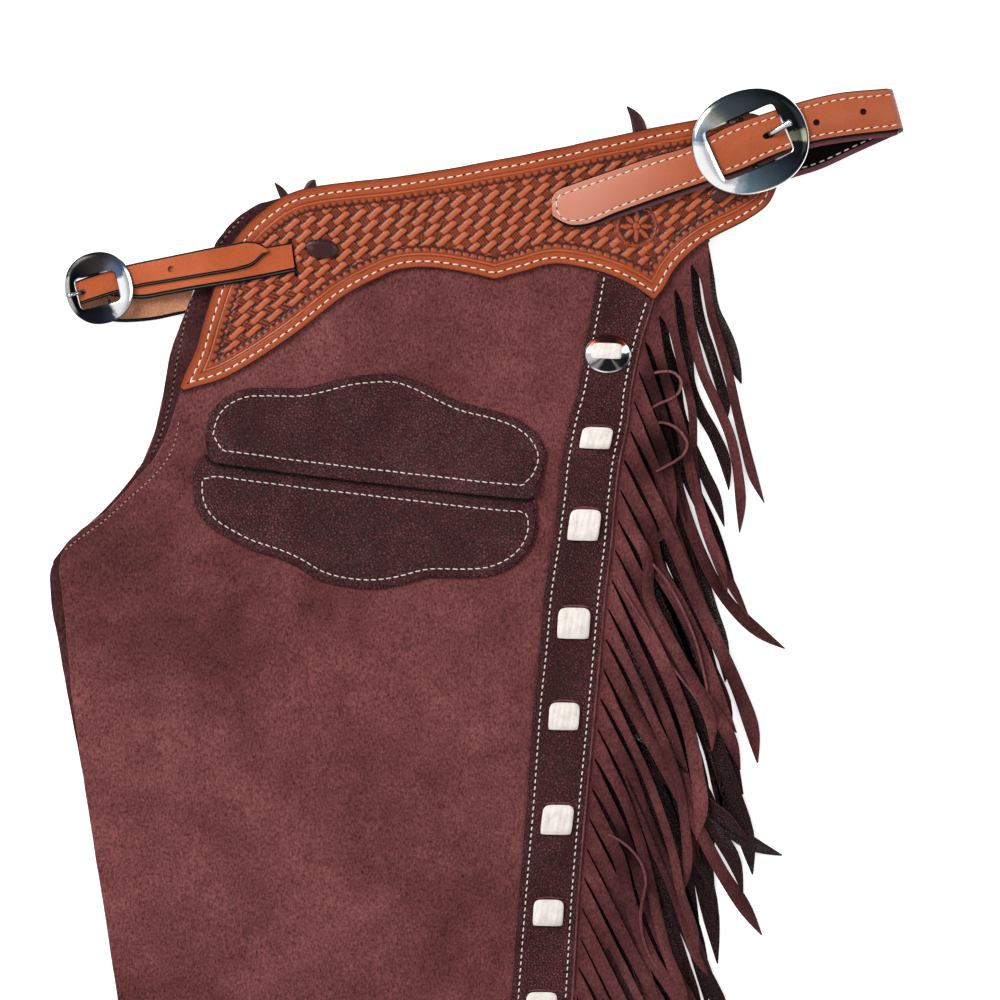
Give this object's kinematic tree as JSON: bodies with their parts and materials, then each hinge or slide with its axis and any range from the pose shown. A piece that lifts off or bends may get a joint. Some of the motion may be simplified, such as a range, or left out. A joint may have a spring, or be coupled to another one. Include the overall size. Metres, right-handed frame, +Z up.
{
  "type": "fringed leather chaps",
  "caption": "Fringed leather chaps with a tooled yoke, buckled front strap and lined back belt, folded in half and laid flat.",
  "frame": {"origin": "centre of the lay on the surface that it rests on", "axes": "+Y towards the waist, +X from the front edge towards the fringe, +Z up from the surface"},
  "size_m": [0.57, 1.1654, 0.0317],
  "materials": {
    "suede": "napped suede",
    "suede_under": "napped suede in shade",
    "grain_fringe": "pebbled grain",
    "tooled": "tooled, satin",
    "yoke_under": "tooled, satin",
    "trim": "smooth, pebbled",
    "pocket": "smooth, pebbled",
    "rawhide": "matt strands",
    "silver": "polished",
    "belt": "smooth, satin",
    "lining": "smooth",
    "lace": "smooth"
  },
  "bodies": {
    "root": {"leg_left_front": "suede", "leg_backs_folded": "suede_under", "leg_right_front": "suede_under", "yoke_left": "tooled", "yoke_right": "yoke_under", "strip_left": "trim", "strip_right": "trim", "fringe_left": "suede", "fringe_right": "grain_fringe", "pocket_left": "pocket", "pocket_flap_left": "pocket", "concho_left": "silver", "concho_band_left": "rawhide", "band_01": "rawhide", "band_02": "rawhide", "band_03": "rawhide", "band_04": "rawhide", "band_05": "rawhide", "band_06": "rawhide", "band_07": "rawhide", "band_08": "rawhide", "band_09": "rawhide", "band_10": "rawhide", "band_11": "rawhide", "band_12": "rawhide", "front_chape": "belt", "front_billet": "belt", "front_buckle": "silver", "front_tongue": "silver", "back_chape": "belt", "back_belt": "belt", "back_belt_lining": "lining", "back_buckle": "silver", "back_tongue": "silver", "front_knot": "lace", "rear_knot": "lace", "lace_end_1": "lace", "lace_end_2": "lace", "lace_end_3": "lace"}
  },
  "joints": []
}
